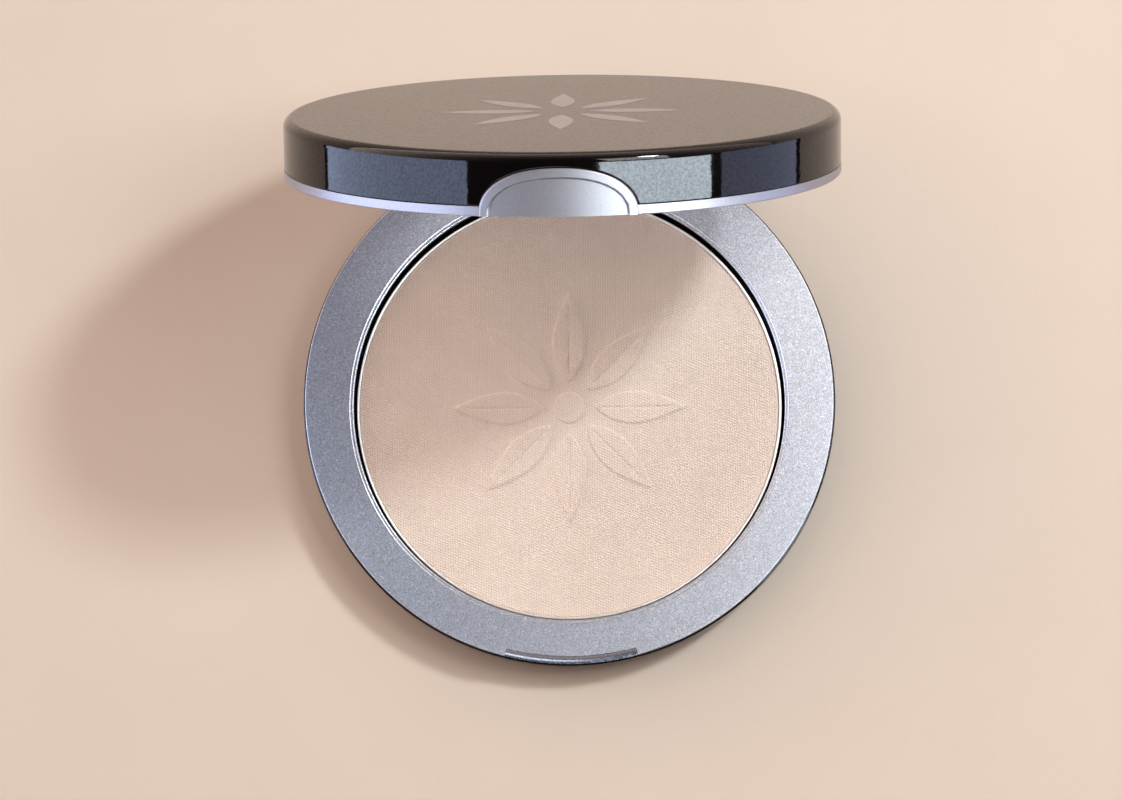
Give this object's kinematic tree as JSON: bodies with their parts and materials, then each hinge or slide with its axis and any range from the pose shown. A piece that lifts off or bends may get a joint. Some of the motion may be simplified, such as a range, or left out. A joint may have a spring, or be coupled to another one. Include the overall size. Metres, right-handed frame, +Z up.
{
  "type": "powder compact",
  "caption": "Round pressed-powder compact with a gloss shell, a silver deck and a hinged mirror lid with a thumb panel.",
  "frame": {"origin": "centre of the base's underside, on the axis of the round base", "axes": "+Z up through the base, -Y towards the thumb notch, +Y towards the hinge, the hinge axis runs along X"},
  "size_m": [0.0746, 0.0827, 0.0799],
  "materials": {
    "shell_plastic": "high-gloss black injection-moulded plastic",
    "silver_plastic": "silver metallic paint with a fine flake on plastic",
    "pan_aluminium": "bright stamped sheet",
    "powder": "pressed cosmetic powder with a woven press-cloth imprint, fully matte",
    "adhesive": "double-sided foam tape",
    "magnet": "nickel-plated magnet",
    "label_paper": "blank satin label",
    "pin_steel": "drawn wire",
    "mirror_glass": "silvered float glass",
    "print_ink": "thin pinkish-grey ink printed on the lid"
  },
  "bodies": {
    "base": {"base_shell": "shell_plastic", "deck_ring": "silver_plastic", "powder_pan": "pan_aluminium", "pressed_powder": "powder", "pan_adhesive": "adhesive", "base_magnets": "magnet", "base_label": "label_paper", "hinge_pin": "pin_steel"},
    "lid": {"lid_shell": "shell_plastic", "lid_frame": "silver_plastic", "mirror": "mirror_glass", "mirror_adhesive": "adhesive", "lid_magnets": "magnet"}
  },
  "joints": [
    {"name": "lid_hinge", "type": "hinge", "parent": "base", "child": "lid", "pos_m": [0, 0.0377, 0.00675], "axis": [-1, 0, 0], "range_deg": [-71, 49]}
  ]
}
